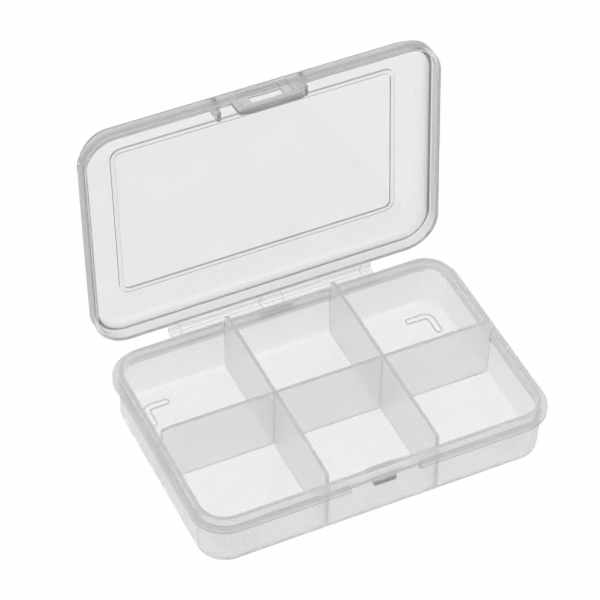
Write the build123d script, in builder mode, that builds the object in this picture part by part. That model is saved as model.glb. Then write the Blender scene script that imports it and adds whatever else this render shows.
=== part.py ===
from build123d import *
import os
from math import cos, radians, sin, tan

os.makedirs("parts", exist_ok=True)

# Small hinged six-compartment box, in millimetres, with its lid standing open.
# +X runs along the box, -Y is the latch side, +Y the hinge side and +Z is up.
# The solids are drawn about a point below the middle of the tray, and the lid and latch as if shut.
# Each is then moved back to front, so that the origin is below the middle of the open box.

# Tray, with heights above its underside
ledge_length = 100.0
ledge_width = 67.2
ledge_corner_radius = 9.6
ledge_overhang = 1.7
ledge_thickness = 1.1
ledge_height = 14.5
rim_height = 16.7
tray_wall = 1.1
floor_thickness = 1.2
lower_wall_step = 0.12
wall_draft = 1.0
bottom_edge_radius = 2.0
floor_corner_radius = 1.2

# Thicker patch of the front wall behind the catch
patch_width = 8.8
patch_thickness = 0.4

# Dividers, with their height above the tray's underside
divider_thickness = 1.0
divider_height = 20.15
divider_corner_radius = 1.2
divider_toe = 0.7
middle_bay_length = 29.9

# Stacking feet, L-shaped from below
foot_height = 0.6
foot_width = 1.5
foot_arm = 6.0
foot_bend_radius = 1.8
foot_inset = 8.05
feet_shift = 0.7

# Moulding gate below the floor
gate_dimple_radius = 2.6
gate_dimple_depth = 0.3
gate_nub_radius = 0.6
gate_nub_height = 0.45
gate_shift = 0.7

# Hinge strip
hinge_length = 59.3
hinge_reach = 2.15
hinge_leaf_thickness = 0.55
hinge_film_radius = 0.3
lid_open_angle = 94.2
film_lap = 0.1

# Lid
lid_seat_gap = 0.2
lid_depth = 7.0
lid_wall = 1.05
lid_band_height = 3.6
lid_band_step = 1.1
lid_edge_radius = 2.7
ridge_inset = 10.0
ridge_band = 1.2
ridge_height = 0.6
ridge_corner_radius = 3.0

# Locating fins inside the lid
fin_thickness = 1.0
fin_spacing = 24.2
fin_depth = 2.95
fin_reach = 0.7
fin_clearance = 0.35

# Latch tab on the lid's front skirt
tongue_width = 13.9
tongue_thickness = 0.65
tongue_height = 2.8
slot_gap = 0.15
tab_width = 18.4
tab_drop = 6.2
tab_taper = 3.0
window_width = 9.0
window_height = 3.1
window_recess_height = 2.0
window_recess_depth = 0.25
latch_film_radius = 0.2

# Grip lip along the foot of the tab
grip_height = 3.5
grip_corner_radius = 2.4
grip_flare = 1.1
grip_flare_height = 1.4
grip_edge_height = 0.6
grip_inner_flare = 0.75

# Catch on the tray and the notch that the tab passes through
catch_width = 6.5
catch_height = 1.2
catch_bite = 0.6
catch_clearance = 0.15
catch_nose_height = 0.35
catch_chamfer = 0.5
notch_gap = 0.7
ledge_web_thickness = 0.6
ledge_web_height = 1.9

# Levels above the surface that the box stands on
underside = foot_height
floor_top = underside + floor_thickness
ledge_top = underside + ledge_height
ledge_bottom = ledge_top - ledge_thickness
rim_top = underside + rim_height
divider_top = underside + divider_height
lid_edge = ledge_top + lid_seat_gap
lid_top = lid_edge + lid_depth
tongue_root = lid_edge + tongue_height
slot_top = tongue_root + latch_film_radius - film_lap
tongue_top = tongue_root - latch_film_radius + film_lap
ear_top = lid_edge - slot_gap
tab_bottom = lid_edge - tab_drop
grip_top = tab_bottom + grip_height
window_top = grip_top + window_height
catch_bottom = grip_top + catch_clearance
catch_top = catch_bottom + catch_height

# Outlines
rim_length = ledge_length - 2 * ledge_overhang
rim_width = ledge_width - 2 * ledge_overhang
rim_corner_radius = ledge_corner_radius - ledge_overhang
cavity_length = rim_length - 2 * tray_wall
cavity_width = rim_width - 2 * tray_wall
cavity_corner_radius = rim_corner_radius - tray_wall
body_length = ledge_length - 2 * lid_band_step
body_width = ledge_width - 2 * lid_band_step
body_corner_radius = ledge_corner_radius - lid_band_step
ridge_length = ledge_length - 2 * ridge_inset
ridge_width = ledge_width - 2 * ridge_inset
feet_length = ledge_length - 2 * foot_inset
feet_width = ledge_width - 2 * foot_inset
skirt_inner = ledge_width / 2 - lid_wall
notch_width = tab_width + 2 * notch_gap
divider_x = (middle_bay_length + divider_thickness) / 2
wall_middle = (rim_width - tray_wall) / 2
catch_tip = skirt_inner + catch_bite
fin_front = cavity_width / 2 - fin_clearance
grip_side_taper = grip_height * tan(radians(tab_taper))

# Hinge axis, and the frame that the open lid is drawn in
hinge_y = ledge_width / 2 + hinge_reach
hinge_z = (ledge_top + lid_edge) / 2
leaf_end = hinge_y - hinge_film_radius + film_lap
leaf_depth = leaf_end - ledge_width / 2
leaf_middle = (leaf_end + ledge_width / 2) / 2
lid_up = Vector(0, sin(radians(lid_open_angle)), cos(radians(lid_open_angle)))
lid_back = Vector(0, cos(radians(lid_open_angle)), -sin(radians(lid_open_angle)))
lid_origin = Vector(0, hinge_y, hinge_z) - lid_back * hinge_y - lid_up * hinge_z
lid_axis = Axis(lid_origin, lid_up)

# Middle of the open box from front to back: the lid's ridge reaches furthest back
rear_reach = (lid_origin - lid_back * ridge_width / 2 + lid_up * (lid_top + ridge_height)).Y
box_middle = (rear_reach - ledge_width / 2) / 2


def lid_level(height):
    """Plane across the open lid, at a height measured on the shut lid."""
    return Plane(origin=lid_origin + lid_up * height, x_dir=(1, 0, 0), z_dir=lid_up)


def lid_section(x):
    """Plane along the lid's depth, drawn in front-to-back and height."""
    return Plane(origin=lid_origin + Vector(x, 0, 0), x_dir=lid_back, z_dir=(1, 0, 0))


def lid_front(depth):
    """Plane of the lid's front skirt, at a distance in front of the box's middle."""
    return Plane(origin=lid_origin - lid_back * depth, x_dir=(1, 0, 0), z_dir=lid_back * -1)


def lid_form(inset):
    """Lid's rounded body on its wider band: the outside, or the hollow where the inset is the wall."""
    with BuildPart() as form:
        with BuildSketch(lid_level(lid_edge)):
            RectangleRounded(body_length - 2 * inset, body_width - 2 * inset, body_corner_radius - inset)
        extrude(amount=lid_depth - inset)
        fillet(form.faces().sort_by(lid_axis)[-1].edges(), radius=lid_edge_radius - inset)
        with BuildSketch(lid_level(lid_edge)):
            RectangleRounded(ledge_length - 2 * inset, ledge_width - 2 * inset, ledge_corner_radius - inset)
        extrude(amount=lid_band_height - inset)
    return form


def tray_section(x):
    """Plane across the tray, drawn in front-to-back and height."""
    return Plane(origin=(x, 0, 0), x_dir=(0, 1, 0), z_dir=(1, 0, 0))


def film(plane, radius, length):
    """Bendable film along a pivot axis, as a round bar."""
    with BuildPart() as bar:
        with BuildSketch(plane):
            Circle(radius)
        extrude(amount=length / 2, both=True)
    return bar


def divider_blank(plane, start, wall):
    """Divider from its start to past a wall's inner face, with a rounded corner and a toe on the rim."""
    shoulder = (wall - divider_corner_radius, divider_top)
    corner = (wall, divider_top - divider_corner_radius)
    toe_top = (wall, rim_top + divider_toe)
    toe_tip = (wall + divider_toe, rim_top)
    with BuildPart() as blank:
        with BuildSketch(plane):
            with BuildLine():
                Polyline(
                    shoulder,
                    (start, divider_top),
                    (start, floor_top),
                    (toe_tip[0], floor_top),
                    toe_tip,
                )
                RadiusArc(toe_tip, toe_top, divider_toe)
                Line(toe_top, corner)
                RadiusArc(corner, shoulder, -divider_corner_radius)
            make_face()
        extrude(amount=divider_thickness / 2, both=True)
    return blank


def finish(piece, name):
    """Move the piece into the box's frame, name it and write it."""
    placed = piece.part.moved(Location((0, -box_middle, 0)))
    placed.label = name
    export_step(placed, f"parts/{name}.step")


# Tray shell: drafted tub, ledge and upper wall, hollowed from above
with BuildPart() as tray_shell:
    with BuildSketch(Plane.XY.offset(ledge_bottom)):
        RectangleRounded(
            rim_length + 2 * lower_wall_step,
            rim_width + 2 * lower_wall_step,
            rim_corner_radius + lower_wall_step,
        )
    extrude(amount=underside - ledge_bottom, taper=wall_draft)
    fillet(tray_shell.faces().sort_by(Axis.Z)[0].edges(), radius=bottom_edge_radius)
    with BuildSketch(Plane.XY.offset(ledge_bottom)):
        RectangleRounded(ledge_length, ledge_width, ledge_corner_radius)
        with Locations((0, -(rim_width + ledge_overhang) / 2)):
            Rectangle(notch_width, ledge_overhang, mode=Mode.SUBTRACT)
    extrude(amount=ledge_thickness)
    with BuildSketch(Plane.XY.offset(ledge_bottom)):
        RectangleRounded(rim_length, rim_width, rim_corner_radius)
    extrude(amount=rim_top - ledge_bottom)
    with BuildSketch(Plane.XY.offset(rim_top)):
        RectangleRounded(cavity_length, cavity_width, cavity_corner_radius)
    extrude(amount=floor_top - rim_top, taper=wall_draft, mode=Mode.SUBTRACT)
    floor_face = tray_shell.faces().filter_by(Plane.XY).sort_by_distance((0, 0, floor_top))[0]
    fillet(floor_face.edges(), radius=floor_corner_radius)
    with BuildSketch(Plane.XY.offset(ledge_bottom)):
        with Locations((0, -cavity_width / 2)):
            Rectangle(patch_width, 2 * patch_thickness)
    extrude(amount=rim_top - ledge_bottom)
    with BuildSketch(Plane.XY.offset(underside)):
        with Locations((gate_shift, 0)):
            Circle(gate_dimple_radius)
    extrude(amount=gate_dimple_depth, mode=Mode.SUBTRACT)
finish(tray_shell, "tray_shell")

# Long divider, from the left wall to the right one
with BuildPart() as long_divider:
    for direction in (-1, 1):
        half_plane = Plane(origin=(0, 0, 0), x_dir=(direction, 0, 0), z_dir=(0, -direction, 0))
        add(divider_blank(half_plane, 0, cavity_length / 2).part)
    add(tray_shell.part, mode=Mode.SUBTRACT)
finish(long_divider, "long_divider")

# Four cross dividers, from the long divider to the front and rear walls
for side, side_name in ((-1, "left"), (1, "right")):
    for direction, end_name in ((-1, "front"), (1, "rear")):
        with BuildPart() as cross_divider:
            half_plane = Plane(
                origin=(side * divider_x, 0, 0), x_dir=(0, direction, 0), z_dir=(direction, 0, 0)
            )
            add(divider_blank(half_plane, divider_thickness / 2, cavity_width / 2).part)
            add(tray_shell.part, mode=Mode.SUBTRACT)
        finish(cross_divider, f"{side_name}_{end_name}_divider")

# Wedge that the latch tab snaps below
with BuildPart() as catch_wedge:
    with BuildSketch(tray_section(-catch_width / 2)):
        with BuildLine():
            Polyline(
                (-wall_middle, catch_bottom),
                (-catch_tip, catch_bottom),
                (-catch_tip, catch_bottom + catch_nose_height),
                (-rim_width / 2, catch_top),
                (-wall_middle, catch_top),
                close=True,
            )
        make_face()
    extrude(amount=catch_width)
    chamfer(catch_wedge.edges().filter_by(Axis.Z).group_by(Axis.Y)[0], length=catch_chamfer)
    add(tray_shell.part, mode=Mode.SUBTRACT)
finish(catch_wedge, "catch_wedge")

# Triangular webs under the ledge, on either side of its notch
for side, side_name in ((-1, "left"), (1, "right")):
    with BuildPart() as ledge_web:
        with BuildSketch(tray_section(side * (notch_width + ledge_web_thickness) / 2)):
            with BuildLine():
                Polyline(
                    (-wall_middle, ledge_bottom),
                    (-ledge_width / 2, ledge_bottom),
                    (-rim_width / 2, ledge_bottom - ledge_web_height),
                    (-wall_middle, ledge_bottom - ledge_web_height),
                    close=True,
                )
            make_face()
        extrude(amount=ledge_web_thickness / 2, both=True)
        add(tray_shell.part, mode=Mode.SUBTRACT)
    finish(ledge_web, f"{side_name}_ledge_web")

# Four stacking feet, as the corners of one rounded frame
for side, side_name in ((-1, "left"), (1, "right")):
    for direction, end_name in ((-1, "front"), (1, "rear")):
        corner_x = feet_shift + side * feet_length / 2
        corner_y = direction * feet_width / 2
        with BuildPart() as foot:
            with BuildSketch():
                with Locations((feet_shift, 0)):
                    RectangleRounded(
                        feet_length + foot_width,
                        feet_width + foot_width,
                        foot_bend_radius + foot_width / 2,
                    )
                    RectangleRounded(
                        feet_length - foot_width,
                        feet_width - foot_width,
                        foot_bend_radius - foot_width / 2,
                        mode=Mode.SUBTRACT,
                    )
                inset = (foot_width - foot_arm) / 2
                with Locations((corner_x + side * inset, corner_y + direction * inset)):
                    Rectangle(foot_arm + foot_width, foot_arm + foot_width, mode=Mode.INTERSECT)
                arm_x = corner_x - side * foot_arm
                arm_y = corner_y - direction * foot_arm
                with Locations((arm_x, corner_y), (corner_x, arm_y)):
                    Circle(foot_width / 2)
            extrude(amount=foot_height)
        finish(foot, f"{end_name}_{side_name}_foot")

# Gate nub in its dimple below the floor
with BuildPart() as gate_nub:
    with BuildSketch(Plane.XY.offset(underside + gate_dimple_depth - gate_nub_height)):
        with Locations((gate_shift, 0)):
            Circle(gate_nub_radius)
    extrude(amount=gate_nub_height)
finish(gate_nub, "gate_nub")

# Hinge strip: film on the axis, with one leaf on the tray and one on the lid
hinge_film = film(Plane(origin=(0, hinge_y, hinge_z), z_dir=(1, 0, 0)), hinge_film_radius, hinge_length)
finish(hinge_film, "hinge_film")

with BuildPart() as tray_hinge_leaf:
    with BuildSketch(Plane.XY.offset(ledge_top)):
        with Locations((0, leaf_middle)):
            Rectangle(hinge_length, leaf_depth)
    extrude(amount=-hinge_leaf_thickness)
    add(hinge_film.part, mode=Mode.SUBTRACT)
finish(tray_hinge_leaf, "tray_hinge_leaf")

with BuildPart() as lid_hinge_leaf:
    with BuildSketch(lid_level(lid_edge)):
        with Locations((0, leaf_middle)):
            Rectangle(hinge_length, leaf_depth)
    extrude(amount=hinge_leaf_thickness)
    add(hinge_film.part, mode=Mode.SUBTRACT)
finish(lid_hinge_leaf, "lid_hinge_leaf")

# Film that the latch tab bends on
tongue_pivot = lid_origin - lid_back * (skirt_inner + tongue_thickness / 2) + lid_up * tongue_root
latch_film = film(Plane(origin=tongue_pivot, z_dir=(1, 0, 0)), latch_film_radius, tongue_width)
finish(latch_film, "latch_film")

# Lid: hollowed from its free edge, with a slot for the latch tongue
lid_outside = lid_form(0)
lid_hollow = lid_form(lid_wall)
with BuildPart() as lid_shell:
    add(lid_outside.part)
    add(lid_hollow.part, mode=Mode.SUBTRACT)
    with BuildSketch(lid_front(ledge_width / 2)):
        with Locations((0, (lid_edge + slot_top) / 2)):
            Rectangle(tongue_width + 2 * slot_gap, slot_top - lid_edge)
    extrude(amount=-lid_wall, mode=Mode.SUBTRACT)
    add(latch_film.part, mode=Mode.SUBTRACT)
finish(lid_shell, "lid_shell")

# Ridge on the lid's outer face that locates a box stacked on it
with BuildPart() as stacking_ridge:
    with BuildSketch(lid_level(lid_top)):
        RectangleRounded(ridge_length, ridge_width, ridge_corner_radius)
        RectangleRounded(
            ridge_length - 2 * ridge_band,
            ridge_width - 2 * ridge_band,
            ridge_corner_radius - ridge_band,
            mode=Mode.SUBTRACT,
        )
    extrude(amount=ridge_height)
finish(stacking_ridge, "stacking_ridge")

# Fins inside the lid that drop in behind the tray's front wall
for side, side_name in ((-1, "left"), (1, "right")):
    with BuildPart() as locating_fin:
        with BuildSketch(lid_section(side * fin_spacing / 2)):
            with BuildLine():
                Polyline(
                    (-ledge_width / 2, lid_top),
                    (-ledge_width / 2, rim_top + fin_clearance),
                    (-fin_front, rim_top + fin_clearance),
                    (-fin_front, rim_top - fin_reach),
                    (fin_depth - fin_front, rim_top - fin_reach),
                    (fin_depth - fin_front, lid_top),
                    close=True,
                )
            make_face()
        extrude(amount=fin_thickness / 2, both=True)
        add(lid_outside.part, mode=Mode.INTERSECT)
        add(lid_shell.part, mode=Mode.SUBTRACT)
    finish(locating_fin, f"{side_name}_locating_fin")

# Latch tab: thin tongue in the lid's slot, with a full-thickness ear on either side below it
with BuildPart() as latch_tab:
    with BuildSketch(lid_front(skirt_inner)):
        with Locations((0, (grip_top + tongue_top) / 2)):
            Rectangle(tongue_width, tongue_top - grip_top)
    extrude(amount=tongue_thickness)
    with BuildSketch(lid_front(skirt_inner)):
        with Locations((0, (grip_top + ear_top) / 2)):
            Rectangle(tab_width, ear_top - grip_top)
            Rectangle(tongue_width, ear_top - grip_top, mode=Mode.SUBTRACT)
    extrude(amount=lid_wall)
    with BuildSketch(lid_front(skirt_inner + tongue_thickness)):
        with Locations((0, window_top + window_recess_height / 2)):
            Rectangle(window_width, window_recess_height)
    extrude(amount=-window_recess_depth, mode=Mode.SUBTRACT)
    with BuildSketch(lid_front(skirt_inner)):
        with Locations((0, (grip_top + window_top) / 2)):
            Rectangle(window_width, window_height)
    extrude(amount=tongue_thickness, mode=Mode.SUBTRACT)
    add(latch_film.part, mode=Mode.SUBTRACT)
finish(latch_tab, "latch_tab")

# Grip lip: bent outwards along its lower edge, with rounded lower corners
with BuildPart() as grip_lip:
    with BuildSketch(lid_section(-tab_width / 2)):
        with BuildLine():
            Polyline(
                (-skirt_inner, grip_top),
                (-ledge_width / 2, grip_top),
                (-ledge_width / 2, tab_bottom + grip_flare_height),
                (-ledge_width / 2 - grip_flare, tab_bottom + grip_edge_height),
                (-ledge_width / 2 - grip_flare, tab_bottom),
                (-skirt_inner - grip_inner_flare, tab_bottom),
                (-skirt_inner, tab_bottom + grip_flare_height),
                close=True,
            )
        make_face()
    extrude(amount=tab_width)
    with BuildSketch(lid_front(skirt_inner)) as grip_outline:
        with BuildLine():
            Polyline(
                (-tab_width / 2, grip_top),
                (tab_width / 2, grip_top),
                (tab_width / 2 - grip_side_taper, tab_bottom),
                (grip_side_taper - tab_width / 2, tab_bottom),
                close=True,
            )
        make_face()
        fillet(grip_outline.vertices().group_by(Axis.Y)[0], radius=grip_corner_radius)
    extrude(amount=lid_wall + grip_flare, mode=Mode.INTERSECT)
finish(grip_lip, "grip_lip")
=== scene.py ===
from math import cos, radians, sin

import bmesh
import bpy
from bpy.props import FloatProperty, FloatVectorProperty, PointerProperty
from mathutils import Matrix, Vector


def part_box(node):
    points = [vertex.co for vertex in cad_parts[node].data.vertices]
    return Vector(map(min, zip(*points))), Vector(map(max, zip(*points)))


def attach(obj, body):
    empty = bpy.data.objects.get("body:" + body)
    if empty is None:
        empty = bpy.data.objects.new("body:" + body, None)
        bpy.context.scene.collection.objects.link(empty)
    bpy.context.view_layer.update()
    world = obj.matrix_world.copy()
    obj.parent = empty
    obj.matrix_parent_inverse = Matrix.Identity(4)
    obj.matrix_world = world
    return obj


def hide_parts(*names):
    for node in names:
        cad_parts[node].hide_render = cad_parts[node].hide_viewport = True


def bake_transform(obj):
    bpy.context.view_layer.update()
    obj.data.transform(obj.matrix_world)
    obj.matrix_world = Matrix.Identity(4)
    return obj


bl_info = {
    "name": "Compartment box",
    "version": (1, 0, 0),
    "blender": (4, 5, 0),
    "location": "View3D > Sidebar > Compartment box",
    "description": "Dresses the frame of a small translucent hinged compartment box",
    "category": "Object",
}

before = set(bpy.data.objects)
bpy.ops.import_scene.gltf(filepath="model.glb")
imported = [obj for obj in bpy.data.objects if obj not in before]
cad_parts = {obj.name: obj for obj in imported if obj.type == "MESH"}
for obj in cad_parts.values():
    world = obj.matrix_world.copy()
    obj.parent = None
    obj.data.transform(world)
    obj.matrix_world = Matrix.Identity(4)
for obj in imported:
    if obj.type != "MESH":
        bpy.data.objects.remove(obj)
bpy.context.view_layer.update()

# CAD nodes that each moulded piece of the visual model stands for; the first of each is the one that the rest join
TRAY_NODES = (
    "tray_shell", "long_divider", "left_front_divider", "left_rear_divider", "right_front_divider",
    "right_rear_divider", "catch_wedge", "left_ledge_web", "right_ledge_web", "front_left_foot",
    "front_right_foot", "rear_left_foot", "rear_right_foot", "gate_nub",
)
LID_NODES = ("lid_shell", "stacking_ridge", "left_locating_fin", "right_locating_fin")
LATCH_NODES = ("latch_tab", "grip_lip", "latch_film")
HINGE_NODES = ("tray_hinge_leaf", "lid_hinge_leaf", "hinge_film")

# Points this close are one, and a piece joined to another reaches this far into it
MERGE = 1e-7
LAP = 0.00002
SHARP_ANGLE = radians(30)
COPLANAR = radians(0.2)

# The open lid leans back past upright. LID_OUT points out of its outer face and LATCH_OUT up along it.
OPEN_LEAN = radians(4.2)
UP = Vector((0, 0, 1))
LID_OUT = Vector((0, cos(OPEN_LEAN), -sin(OPEN_LEAN)))
LATCH_OUT = Vector((0, sin(OPEN_LEAN), cos(OPEN_LEAN)))

# Over how far most of the painted shade, and the white of the wall tops, fades in
SOFT = 0.0002
CRISP = 0.00005

# Where the tray's painted shade and white tops lie: heights above the surface that it stands on, then lengths
FEET_TOP = 0.00058
FEET_FADE = 0.000005
UNDERSIDE_TOP = 0.001
FLOOR_TOP = 0.003
FLOOR_FADE = 0.001
LEDGE_BOTTOM = 0.0133
LEDGE_TOP = 0.0146
WALL_TOPS = 0.016
LEDGE_DEPTH = 0.0035
CATCH_HALF = 0.005
FOOT_WIDTH = 0.0015
FOOT_BEND = 0.00255
FOOT_LINE = 0.0001
FOOT_LINE_HALF = 0.00016

# Where the lid's painted shade lies: depths under the crest of its ridge, then lengths
CREST_EDGE = 0.00006
CREST_FADE = 0.000025
RIDGE_FOOT = 0.00055
PANEL_INSIDE = 0.002
FIN_MARGIN = 0.0001
FIN_FADE = 0.00012

# The mould's rings on the hinge strip, and the crease above the film's axis
RING_RADIUS = 0.00335
RING_LINE = 1 / 7000
CREASE_RISE = 0.0009
CREASE_WANDER = 0.0006
CREASE_SCALE = 220.0
CREASE_LINE = 1 / 6000

# How strong each painted shade is, where it isn't full, and how white the tops of the walls turn
UNDER_SHADE_SHARE = 0.3
FOOT_SIDE_SHADE_SHARE = 0.5
LEDGE_SHADE_SHARE = 0.3
WALL_TOP_SHARE = 0.4
FIN_SHADE_SHARE = 0.6

PLASTIC_IOR = 1.49
SMOOTHEST = 0.02
WHITE = (1.0, 1.0, 1.0, 1.0)

# Heights of the world's direction between which its light changes
HORIZON = 0.0
OVERHEAD = 0.9

PICTURE_WIDTH = 600


class Wire:
    """A shader value. Arithmetic on it adds Math nodes."""

    def __init__(self, tree, socket):
        self.tree = tree
        self.socket = socket

    def maths(self, operation, *values):
        """The value of a new Math node."""
        return self.tree.add("ShaderNodeMath", {"operation": operation}, *values)

    def __add__(self, other):
        return self.maths("ADD", self, other)

    def __radd__(self, other):
        return self.maths("ADD", other, self)

    def __sub__(self, other):
        return self.maths("SUBTRACT", self, other)

    def __rsub__(self, other):
        return self.maths("SUBTRACT", other, self)

    def __mul__(self, other):
        return self.maths("MULTIPLY", self, other)

    def __rmul__(self, other):
        return self.maths("MULTIPLY", other, self)

    def __neg__(self):
        return 0.0 - self

    def size(self):
        """This value without its sign."""
        return self.maths("ABSOLUTE", self)

    def greater(self, other):
        """The greater of this value and another."""
        return self.maths("MAXIMUM", self, other)

    def clip(self, low=0.0, high=1.0):
        """This value kept between two limits."""
        return self.maths("MAXIMUM", self.maths("MINIMUM", self, high), low)

    def above(self, level, fade):
        """0 up to a level, and from there rising to 1 over a fade."""
        return ((self - level) * (1 / fade)).clip()

    def below(self, level, fade):
        """0 down to a level, and from there rising to 1 over a fade."""
        return ((level - self) * (1 / fade)).clip()


class Finish:
    """The node tree of a material or a world, with one method that adds any node."""

    def __init__(self, owner):
        owner.use_nodes = True
        self.owner = owner
        self.nodes = owner.node_tree.nodes
        self.links = owner.node_tree.links
        self.nodes.clear()

    def add(self, kind, settings=None, *inputs, output=0, **named):
        """Adds a node, sets its settings first and then its sockets, and returns one output. An input of None keeps its
        default."""
        node = self.nodes.new(kind)
        for key, value in (settings or {}).items():
            setattr(node, key, value)
        sockets = list(enumerate(inputs))
        sockets += [(key.replace("_", " "), value) for key, value in named.items()]
        for key, value in sockets:
            if isinstance(value, Wire):
                self.links.new(value.socket, node.inputs[key])
            elif value is not None:
                node.inputs[key].default_value = value
        return Wire(self, node.outputs[output]) if node.outputs else None

    def vector(self, operation, *values, output=0):
        """Vector maths, which gives a number from its output named Value."""
        return self.add("ShaderNodeVectorMath", {"operation": operation}, *values, output=output)

    def axis(self, vector, name):
        """One axis of a vector."""
        return self.add("ShaderNodeSeparateXYZ", None, vector, output=name)

    def mix(self, share, first, second):
        """A colour between two others."""
        not_for_colours = (None,) * 5
        return self.add("ShaderNodeMix", {"data_type": "RGBA"}, share, *not_for_colours, first, second, output=2)

    def blend(self, share, first, second):
        """A shader between two others."""
        return self.add("ShaderNodeMixShader", None, share, first, second)

    def end(self, kind="ShaderNodeOutputMaterial", **sockets):
        """Connects what is finished to the output, and returns the material or world."""
        self.add(kind, None, **sockets)
        return self.owner


def foot_shade_outline(finish, place):
    """Mask of the painted shade line round each of the four L-shaped feet, which mirror each other about their middle.
    """
    boxes = [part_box(name) for name in TRAY_NODES if name.endswith("_foot")]
    low = Vector(min(box[0][axis] for box in boxes) for axis in range(3))
    high = Vector(max(box[1][axis] for box in boxes) for axis in range(3))
    arm = boxes[0][1].x - boxes[0][0].x
    bend = (high - low) / 2 - Vector((FOOT_BEND, FOOT_BEND, 0))
    folded = finish.vector("ABSOLUTE", finish.vector("SUBTRACT", place, (low + high) / 2))
    inner = finish.vector("SUBTRACT", folded, bend)
    along = finish.axis(inner, "X")
    across = finish.axis(inner, "Y")
    outside = finish.vector("MAXIMUM", finish.vector("MULTIPLY", inner, (1, 1, 0)), (0, 0, 0))
    beyond = finish.vector("LENGTH", outside, output="Value") + along.greater(across).clip(-1.0, 0.0) - FOOT_BEND
    beside = beyond + FOOT_WIDTH / 2
    end = FOOT_BEND - arm + FOOT_WIDTH / 2
    past = (end - along).greater(end - across).greater(0.0)
    reach = finish.add("ShaderNodeCombineXYZ", None, beside, past)
    away = finish.vector("LENGTH", reach, output="Value") - FOOT_WIDTH / 2
    return (away - FOOT_LINE).size().below(FOOT_LINE_HALF, FOOT_LINE)


def tray_painted_shade_and_white_tops(finish, place, height_facing):
    """Painted shade, dark under the catch, on the sides of the feet and the gate and round the feet, less so round the
    ledge; and white on the tops of the walls and dividers."""
    low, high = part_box("tray_shell")
    centre = (low + high) / 2
    along = finish.axis(place, "X").size()
    across = (finish.axis(place, "Y") - centre.y).size()
    height = finish.axis(place, "Z")
    standing = 1.0 - height_facing * height_facing
    facing_down = (-height_facing).clip()
    # Painted shade under things: faces that face down above the floor, full under the catch and weaker elsewhere
    catch = along.below(CATCH_HALF, SOFT).greater(UNDER_SHADE_SHARE)
    under = facing_down * height.above(FLOOR_TOP, FLOOR_FADE) * catch
    # Painted shade on the standing sides of the feet and the gate nub
    feet = standing * height.below(FEET_TOP, FEET_FADE) * FOOT_SIDE_SHADE_SHARE
    # Painted shade line round the feet on the tray's underside
    outline = facing_down * height.below(UNDERSIDE_TOP, CRISP) * foot_shade_outline(finish, place)
    # Painted shade on the standing faces of the band along the ledge's outer edge
    from_edge = (along - high.x).greater(across - (high.y - centre.y))
    band = height.above(LEDGE_BOTTOM, SOFT) * height.below(LEDGE_TOP, SOFT)
    ledge = standing * band * from_edge.above(-LEDGE_DEPTH, CRISP) * LEDGE_SHADE_SHARE
    tops = height_facing.clip() * height.above(WALL_TOPS, SOFT) * WALL_TOP_SHARE
    return (under + feet + outline + ledge).clip(), tops


def lid_painted_shade(finish, place, height_facing):
    """Painted shade, dark on the sides of the stacking ridge other than those that face up when the lid is open, and
    on the inner edges of the two fins."""
    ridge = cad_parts["stacking_ridge"]
    crest = max((ridge.matrix_world @ vertex.co).dot(LID_OUT) for vertex in ridge.data.vertices)
    reach = finish.vector("DOT_PRODUCT", place, LID_OUT, output="Value")
    ridge_band = reach.below(crest - CREST_EDGE, CREST_FADE) * reach.above(crest - RIDGE_FOOT, CRISP)
    # Painted shade on the ridge's sides, left off those that face up
    ridge_sides = ridge_band * (1.0 - height_facing.clip())
    low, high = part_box("right_locating_fin")
    along = finish.axis(place, "X").size()
    height = finish.axis(place, "Z")
    facing = finish.add("ShaderNodeTexCoord", None, output="Normal")
    turned = finish.add("ShaderNodeNewGeometry", None, output="Backfacing")
    outward = finish.vector("DOT_PRODUCT", facing, LID_OUT, output="Value")
    # Painted shade on the inner edges of the two fins
    inner_edge = (outward * (turned * 2.0 - 1.0)).clip() * reach.below(crest - PANEL_INSIDE, CRISP)
    in_fin = (along - (low.x + high.x) / 2).size().below((high.x - low.x) / 2 + FIN_MARGIN, CRISP)
    in_fin = in_fin * height.above(low.z - FIN_MARGIN, CRISP) * height.below(high.z, FIN_FADE)
    return (ridge_sides + inner_edge * in_fin * FIN_SHADE_SHARE).clip(), None


def hinge_marks(finish, place, height_facing):
    """Rings left by the mould's three round inserts, and a white crease where the film has been bent."""
    low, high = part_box("hinge_film")
    axis = (low + high) / 2
    spots = [Vector((centre, axis.y, axis.z)) for centre in (low.x, axis.x, high.x)]
    away = [finish.vector("DISTANCE", place, spot, output="Value") for spot in spots]
    left, middle, right = [(distance - RING_RADIUS).size().below(RING_LINE, RING_LINE) for distance in away]
    wander = finish.add("ShaderNodeTexNoise", None, Vector=place, Scale=CREASE_SCALE, Detail=2.0)
    rise = finish.axis(place, "Z") - (axis.z + CREASE_RISE) - (wander - 0.5) * CREASE_WANDER
    return (left + middle + right).clip(), rise.size().below(CREASE_LINE, CREASE_LINE)


def milky(finish, tint, depth, bump):
    """The milky share: plain plastic that scatters light, part of it on through to the far side."""
    front = finish.add("ShaderNodeBsdfDiffuse", None, tint, Normal=bump)
    behind = finish.add("ShaderNodeBsdfTranslucent", None, tint, Normal=bump)
    return finish.blend(depth, front, behind)


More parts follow.
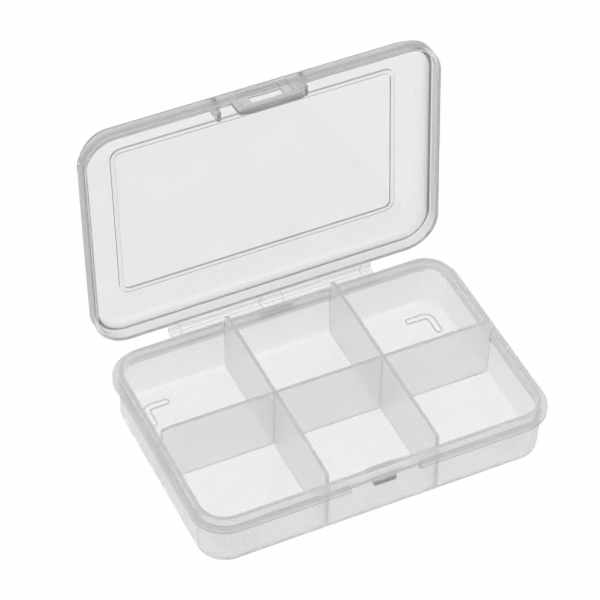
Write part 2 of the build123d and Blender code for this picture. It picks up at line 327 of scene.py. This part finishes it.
def polypropylene(name, plastic, piece, flat_axis, marks=None):
    """Natural polypropylene: clear plastic with a share of milky haze and a faint moulded grain. Faces that stand along
    flat_axis, which the mould draws past, are duller than the flats across it. marks gives a dark share, and a white
    share or None. On the tray and the lid the dark share is painted shade; on the hinge it is its rings."""
    finish = Finish(bpy.data.materials.new(name))
    place = finish.add("ShaderNodeTexCoord", None, output="Object")
    facing = finish.add("ShaderNodeTexCoord", None, output="Normal")
    flat = finish.vector("DOT_PRODUCT", facing, flat_axis, output="Value")
    side = 1.0 - flat * flat
    grain = finish.add("ShaderNodeTexNoise", None, Vector=place, Scale=plastic.grain_scale, Detail=3.0)
    cloud = finish.add("ShaderNodeTexNoise", None, Vector=place, Scale=plastic.cloud_scale, Detail=1.0)
    bump = finish.add("ShaderNodeBump", None, Strength=piece.grain, Distance=plastic.grain_depth, Height=grain)
    colour = finish.mix(side, plastic.tint, piece.side_tint)
    milk = milky(finish, plastic.milk_tint, plastic.milk_depth, bump)
    haze = side * piece.side_haze + (grain - 0.5) * piece.speckle + piece.haze
    if marks:
        turned = finish.add("ShaderNodeNewGeometry", None, output="Backfacing")
        height_facing = finish.axis(facing, "Z") * (1.0 - turned * 2.0)
        dark, white = marks(finish, place, height_facing)
        # Where the dark share is set, the plastic takes the piece's dark tint: painted shade on the tray and the lid,
        # rings on the hinge
        colour = finish.mix(dark, colour, piece.mark_and_painted_shade_tint)
        milk = finish.blend(dark, milk, milky(finish, piece.mark_and_painted_shade_tint, plastic.milk_depth, bump))
        haze = haze if white is None else haze + white
    rough = piece.roughness + (cloud - 0.5) * plastic.cloud_roughness + side * piece.side_roughness
    clear = finish.add(
        "ShaderNodeBsdfPrincipled", None, Base_Color=colour, Normal=bump, Roughness=rough.clip(SMOOTHEST, 1.0),
        IOR=PLASTIC_IOR, Transmission_Weight=1.0,
    )
    body = finish.blend(haze.clip(), clear, milk)
    lit_through = finish.add("ShaderNodeBsdfTransparent", None, plastic.shadow_tint)
    shadow_ray = finish.add("ShaderNodeLightPath", None, output="Is Shadow Ray")
    inside = finish.add("ShaderNodeVolumeAbsorption", None, plastic.inside_tint, piece.density)
    return finish.end(Surface=finish.blend(shadow_ray, body, lit_through), Volume=inside)


def loose_copy(name, swell):
    """A CAD node's mesh on its own object, closed, and swollen a little so that it laps into its neighbours."""
    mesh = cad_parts[name].data.copy()
    form = bmesh.new()
    form.from_mesh(mesh)
    bmesh.ops.remove_doubles(form, verts=form.verts, dist=MERGE)
    form.normal_update()
    pushes = [(vert, vert.normal * swell * vert.calc_shell_factor()) for vert in form.verts]
    for vert, push in pushes:
        vert.co += push
        vert.co.z = max(vert.co.z, 0.0)
    form.to_mesh(mesh)
    form.free()
    thing = bpy.data.objects.new("loose_" + name, mesh)
    bpy.context.scene.collection.objects.link(thing)
    return thing


def mould(name, nodes, material):
    """Joins CAD nodes into one closed piece, as they are one body of plastic, and lets it stand for them."""
    shell = loose_copy(nodes[0], 0.0)
    others = [loose_copy(node, LAP) for node in nodes[1:]]
    for other in others:
        union = shell.modifiers.new("union", "BOOLEAN")
        union.operation = "UNION"
        union.solver = "MANIFOLD"
        union.object = other
    mesh = bpy.data.meshes.new_from_object(shell.evaluated_get(bpy.context.evaluated_depsgraph_get()))
    for loose in (shell, *others):
        bpy.data.objects.remove(loose)
    form = bmesh.new()
    form.from_mesh(mesh)
    if not all(edge.is_manifold for edge in form.edges):
        raise RuntimeError(f"{name} isn't closed")
    bmesh.ops.dissolve_limit(form, angle_limit=COPLANAR, verts=form.verts, edges=form.edges)
    form.to_mesh(mesh)
    form.free()
    mesh.update()
    mesh.name = name
    mesh.materials.clear()
    mesh.materials.append(material)
    mesh.attributes.remove(mesh.attributes["custom_normal"])
    mesh.shade_smooth()
    mesh.set_sharp_from_angle(angle=SHARP_ANGLE)
    piece = bpy.data.objects.new(name, mesh)
    bpy.context.scene.collection.objects.link(piece)
    flat = piece.modifiers.new("flat_faces", "WEIGHTED_NORMAL")
    flat.keep_sharp = True
    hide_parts(*nodes)
    return piece


class PlasticSettings(bpy.types.PropertyGroup):
    """The box's one plastic"""
    tint: FloatVectorProperty(name="Tint", description="Colour of the clear share", subtype="COLOR", size=4,
                              min=0, max=1, default=(0.945, 0.945, 0.945, 1))
    milk_tint: FloatVectorProperty(name="Milk tint", description="Colour of the milky share", subtype="COLOR", size=4,
                                   min=0, max=1, default=(1.0, 1.0, 1.0, 1))
    milk_depth: FloatProperty(name="Milk depth", description="Part of the milky share that lets light through",
                              default=0.6, min=0, max=1)
    shadow_tint: FloatVectorProperty(name="Shadow tint", description="Light that one face lets through",
                                     subtype="COLOR", size=4, min=0, max=1, default=(0.96, 0.96, 0.96, 1))
    inside_tint: FloatVectorProperty(name="Inside tint", description="Colour that the thickness turns to",
                                     subtype="COLOR", size=4, min=0, max=1, default=(0.35, 0.35, 0.35, 1))
    grain_scale: FloatProperty(name="Grain scale", description="Moulded grain, per metre", default=2600.0)
    grain_depth: FloatProperty(name="Grain depth", description="Depth of the grain", unit="LENGTH", default=0.00004)
    cloud_scale: FloatProperty(name="Cloud scale", description="Slow change of gloss, per metre", default=60.0)
    cloud_roughness: FloatProperty(name="Cloud roughness", description="Change of roughness", default=0.04)


class TrayFinish(bpy.types.PropertyGroup):
    """Finish of the tray, whose mould was textured"""
    haze: FloatProperty(name="Haze", description="Milky share of the flats", default=0.26, min=0, max=1)
    side_haze: FloatProperty(name="Side haze", description="More of it on standing faces", default=0.06, max=1)
    speckle: FloatProperty(name="Speckle", description="Change of the milky share over the grain", default=0.1)
    roughness: FloatProperty(name="Roughness", description="Roughness of the flats", default=0.14, min=0, max=1)
    side_roughness: FloatProperty(name="Side roughness", description="More of it on standing faces",
                                  default=0.0, max=1)
    side_tint: FloatVectorProperty(name="Side tint", description="Colour of the clear share on standing faces",
                                   subtype="COLOR", size=4, min=0, max=1, default=(0.965, 0.965, 0.965, 1))
    # Near-black colour painted as shade under the catch, on the feet's sides, round the feet and along the ledge
    mark_and_painted_shade_tint: FloatVectorProperty(name="Mark tint", description="Colour of the plastic at its dark marks",
                                   subtype="COLOR", size=4, min=0, max=1, default=(0.03, 0.03, 0.03, 1))
    grain: FloatProperty(name="Grain", description="Strength of the moulded grain", default=0.1, min=0)
    density: FloatProperty(name="Density", description="How fast the thickness darkens, per metre", default=25,
                           min=0)


class LidFinish(bpy.types.PropertyGroup):
    """Finish of the lid, whose panel was polished"""
    haze: FloatProperty(name="Haze", description="Milky share of the flats", default=0.09, min=0, max=1)
    side_haze: FloatProperty(name="Side haze", description="More of it on standing faces", default=0.05, max=1)
    speckle: FloatProperty(name="Speckle", description="Change of the milky share over the grain", default=0.0)
    roughness: FloatProperty(name="Roughness", description="Roughness of the flats", default=0.06, min=0, max=1)
    side_roughness: FloatProperty(name="Side roughness", description="More of it on standing faces",
                                  default=0.28, max=1)
    side_tint: FloatVectorProperty(name="Side tint", description="Colour of the clear share on standing faces",
                                   subtype="COLOR", size=4, min=0, max=1, default=(0.955, 0.955, 0.955, 1))
    # Dark colour painted as shade on the ridge's sides and the fins' inner edges
    mark_and_painted_shade_tint: FloatVectorProperty(name="Mark tint", description="Colour of the plastic at its dark marks",
                                   subtype="COLOR", size=4, min=0, max=1, default=(0.12, 0.12, 0.12, 1))
    grain: FloatProperty(name="Grain", description="Strength of the moulded grain", default=0.02, min=0)
    density: FloatProperty(name="Density", description="How fast the thickness darkens, per metre", default=95,
                           min=0)


class LatchFinish(bpy.types.PropertyGroup):
    """Finish of the latch tab"""
    haze: FloatProperty(name="Haze", description="Milky share of the flats", default=0.22, min=0, max=1)
    side_haze: FloatProperty(name="Side haze", description="More of it on standing faces", default=0.1, max=1)
    speckle: FloatProperty(name="Speckle", description="Change of the milky share over the grain", default=0.0)
    roughness: FloatProperty(name="Roughness", description="Roughness of the flats", default=0.1, min=0, max=1)
    side_roughness: FloatProperty(name="Side roughness", description="More of it on standing faces",
                                  default=0.05, max=1)
    side_tint: FloatVectorProperty(name="Side tint", description="Colour of the clear share on standing faces",
                                   subtype="COLOR", size=4, min=0, max=1, default=(0.6, 0.6, 0.6, 1))
    grain: FloatProperty(name="Grain", description="Strength of the moulded grain", default=0.02, min=0)
    density: FloatProperty(name="Density", description="How fast the thickness darkens, per metre", default=320,
                           min=0)


class HingeFinish(bpy.types.PropertyGroup):
    """Finish of the hinge strip"""
    haze: FloatProperty(name="Haze", description="Milky share of the flats", default=0.2, min=0, max=1)
    side_haze: FloatProperty(name="Side haze", description="More of it on standing faces", default=0.0, max=1)
    speckle: FloatProperty(name="Speckle", description="Change of the milky share over the grain", default=0.0)
    roughness: FloatProperty(name="Roughness", description="Roughness of the flats", default=0.25, min=0, max=1)
    side_roughness: FloatProperty(name="Side roughness", description="More of it on standing faces",
                                  default=0.0, max=1)
    side_tint: FloatVectorProperty(name="Side tint", description="Colour of the clear share on standing faces",
                                   subtype="COLOR", size=4, min=0, max=1, default=(0.97, 0.97, 0.97, 1))
    mark_and_painted_shade_tint: FloatVectorProperty(name="Mark tint", description="Colour of the plastic at its dark marks",
                                   subtype="COLOR", size=4, min=0, max=1, default=(0.55, 0.55, 0.55, 1))
    grain: FloatProperty(name="Grain", description="Strength of the moulded grain", default=0.02, min=0)
    density: FloatProperty(name="Density", description="How fast the thickness darkens, per metre", default=10,
                           min=0)


class StageSettings(bpy.types.PropertyGroup):
    """The camera, floor and light"""
    camera_place: FloatVectorProperty(name="Camera", description="Where the camera stands", subtype="TRANSLATION",
                                      unit="LENGTH", default=(-0.23270, -0.46400, 0.55949))
    camera_right: FloatVectorProperty(name="Camera right", description="Picture's right", subtype="DIRECTION",
                                      default=(0.90413, -0.42700, 0.01491))
    camera_up: FloatVectorProperty(name="Camera up", description="Picture's up", subtype="DIRECTION",
                                   default=(0.29230, 0.64363, 0.70732))
    camera_shift: FloatVectorProperty(name="Camera shift", description="Picture's centre off the lens, in pixels",
                                      size=2, default=(-1.5, 0.5))
    lens: FloatProperty(name="Lens", description="Focal length in mm on a 36 mm sensor", default=173.09)
    floor_size: FloatProperty(name="Floor size", description="Width of the floor", unit="LENGTH", default=6.0)
    floor_tone: FloatVectorProperty(name="Floor tone", description="Colour of the floor's lit share",
                                    subtype="COLOR", size=4, min=0, max=1, default=(0.9, 0.9, 0.9, 1))
    pool_inside: FloatProperty(name="Pool inside", description="Radius of the floor's bright pool", unit="LENGTH",
                               default=0.3)
    pool_outside: FloatProperty(name="Pool outside", description="Radius where the floor's pool ends", unit="LENGTH",
                                default=0.7)
    pool_edge: FloatProperty(name="Pool edge", description="Brightness of the floor outside its pool", default=0.8)
    glow: FloatProperty(name="Glow", description="Share of the floor's plain white, the rest being lit", default=0.975)
    world_level: FloatProperty(name="World level", description="Light from overhead", default=0.67)
    world_side: FloatProperty(name="World side", description="Light from the sides", default=0.65)
    lamp_power: FloatProperty(name="Lamp power", description="Power of the large lamp overhead", unit="POWER",
                              default=4.6)
    lamp_size: FloatProperty(name="Lamp size", description="Width of the lamp", unit="LENGTH", default=1.2)
    lamp_place: FloatVectorProperty(name="Lamp", description="Where the lamp hangs", subtype="TRANSLATION",
                                    unit="LENGTH", default=(0.35, -0.3, 1.3))


class BuildTray(bpy.types.Operator):
    """Adds the tray with its dividers, feet and catch"""
    bl_idname = "box.build_tray"
    bl_label = "Tray"

    def execute(self, context):
        finish = polypropylene("tray_polypropylene", context.scene.box_plastic, context.scene.box_tray, UP,
                               tray_painted_shade_and_white_tops)
        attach(mould("tray_moulding", TRAY_NODES, finish), "tray")
        return {"FINISHED"}


class BuildLid(bpy.types.Operator):
    """Adds the lid with its ridge and fins"""
    bl_idname = "box.build_lid"
    bl_label = "Lid"

    def execute(self, context):
        finish = polypropylene("lid_polypropylene", context.scene.box_plastic, context.scene.box_lid, LID_OUT,
                               lid_painted_shade)
        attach(mould("lid_moulding", LID_NODES, finish), "lid")
        return {"FINISHED"}


class BuildLatch(bpy.types.Operator):
    """Adds the latch tab as it stands; the real tab bends about its thin root"""
    bl_idname = "box.build_latch"
    bl_label = "Latch"

    def execute(self, context):
        finish = polypropylene("latch_polypropylene", context.scene.box_plastic, context.scene.box_latch, LATCH_OUT)
        piece = mould("latch_moulding", LATCH_NODES, finish)
        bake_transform(piece)
        return {"FINISHED"}


class BuildHinge(bpy.types.Operator):
    """Adds the hinge strip as it stands; the real strip bends along its film"""
    bl_idname = "box.build_hinge"
    bl_label = "Hinge strip"

    def execute(self, context):
        finish = polypropylene("hinge_polypropylene", context.scene.box_plastic, context.scene.box_hinge, UP,
                               hinge_marks)
        piece = mould("hinge_strip", HINGE_NODES, finish)
        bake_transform(piece)
        return {"FINISHED"}


class BuildStage(bpy.types.Operator):
    """Adds the floor, the light and the camera"""
    bl_idname = "box.build_stage"
    bl_label = "Stage"

    def execute(self, context):
        stage = context.scene.box_stage
        self.add_floor(stage)
        self.add_light(context, stage)
        self.add_camera(context, stage)
        context.scene.view_settings.view_transform = "Standard"
        return {"FINISHED"}

    def add_floor(self, stage):
        """White floor that the camera sees as nearly white, with the box's soft shadow on it."""
        mesh = bpy.data.meshes.new("studio_floor")
        half = stage.floor_size / 2
        mesh.from_pydata([(-half, -half, 0), (half, -half, 0), (half, half, 0), (-half, half, 0)], [], [(0, 1, 2, 3)])
        floor = bpy.data.objects.new("studio_floor", mesh)
        bpy.context.scene.collection.objects.link(floor)
        finish = Finish(bpy.data.materials.new("studio_white"))
        place = finish.add("ShaderNodeTexCoord", None, output="Object")
        away = finish.vector("LENGTH", place, output="Value")
        pool = finish.add("ShaderNodeMapRange", {"interpolation_type": "SMOOTHSTEP"}, away,
                          stage.pool_inside, stage.pool_outside, 1.0, stage.pool_edge)
        camera, glossy, through = (
            finish.add("ShaderNodeLightPath", None, output=name)
            for name in ("Is Camera Ray", "Is Glossy Ray", "Is Transmission Ray")
        )
        matt = finish.add("ShaderNodeBsdfDiffuse", None, stage.floor_tone)
        glow = finish.add("ShaderNodeEmission", None, pool.greater(camera), 1.0)
        seen = (camera + glossy + through).clip() * stage.glow
        mesh.materials.append(finish.end(Surface=finish.blend(seen, matt, glow)))

    def add_light(self, context, stage):
        """Soft light from all round, a little brighter overhead than at the sides, and one large lamp overhead."""
        world = bpy.data.worlds.new("studio_world")
        context.scene.world = world
        around = Finish(world)
        height = around.axis(around.add("ShaderNodeTexCoord", None, output="Generated"), "Z")
        level = around.add("ShaderNodeMapRange", {"interpolation_type": "SMOOTHSTEP"}, height, HORIZON, OVERHEAD,
                           stage.world_side, stage.world_level)
        camera = around.add("ShaderNodeLightPath", None, output="Is Camera Ray")
        light = around.add("ShaderNodeBackground", None, WHITE, level)
        backdrop = around.add("ShaderNodeBackground", None, WHITE, 1.0)
        around.end("ShaderNodeOutputWorld", Surface=around.blend(camera, light, backdrop))
        lamp = bpy.data.lights.new("overhead_lamp", "AREA")
        lamp.energy = stage.lamp_power
        lamp.shape = "SQUARE"
        lamp.size = stage.lamp_size
        holder = bpy.data.objects.new("overhead_lamp", lamp)
        context.scene.collection.objects.link(holder)
        holder.location = stage.lamp_place
        holder.rotation_euler = (-holder.location).to_track_quat("-Z", "Y").to_euler()

    def add_camera(self, context, stage):
        """Camera at the photograph's angle."""
        lens = bpy.data.cameras.new("photo_camera")
        lens.lens = stage.lens
        lens.sensor_width = 36.0
        lens.shift_x = stage.camera_shift[0] / PICTURE_WIDTH
        lens.shift_y = stage.camera_shift[1] / PICTURE_WIDTH
        lens.clip_start = 0.05
        lens.clip_end = 20.0
        camera = bpy.data.objects.new("photo_camera", lens)
        context.scene.collection.objects.link(camera)
        right = Vector(stage.camera_right).normalized()
        up = Vector(stage.camera_up)
        up = (up - right * up.dot(right)).normalized()
        turn = Matrix((right, up, right.cross(up))).transposed().to_4x4()
        camera.matrix_world = Matrix.Translation(stage.camera_place) @ turn
        context.scene.camera = camera


class BoxPanel(bpy.types.Panel):
    """Lists the box's pieces and the stage"""
    bl_idname = "VIEW3D_PT_box"
    bl_label = "Compartment box"
    bl_space_type = "VIEW_3D"
    bl_region_type = "UI"
    bl_category = "Compartment box"

    def draw(self, context):
        for piece in PIECES:
            self.layout.operator(piece.bl_idname)


PIECES = (BuildTray, BuildLid, BuildLatch, BuildHinge, BuildStage)
GROUPS = {
    "box_plastic": PlasticSettings, "box_tray": TrayFinish, "box_lid": LidFinish, "box_latch": LatchFinish,
    "box_hinge": HingeFinish, "box_stage": StageSettings,
}
CLASSES = (*GROUPS.values(), *PIECES, BoxPanel)


def register():
    for cls in CLASSES:
        bpy.utils.register_class(cls)
    for name, group in GROUPS.items():
        setattr(bpy.types.Scene, name, PointerProperty(type=group))


def unregister():
    for name in GROUPS:
        delattr(bpy.types.Scene, name)
    for cls in reversed(CLASSES):
        bpy.utils.unregister_class(cls)


def main():
    register()
    for piece in PIECES:
        group, name = piece.bl_idname.split(".")
        getattr(getattr(bpy.ops, group), name)()


if __name__ == "__main__":
    main()
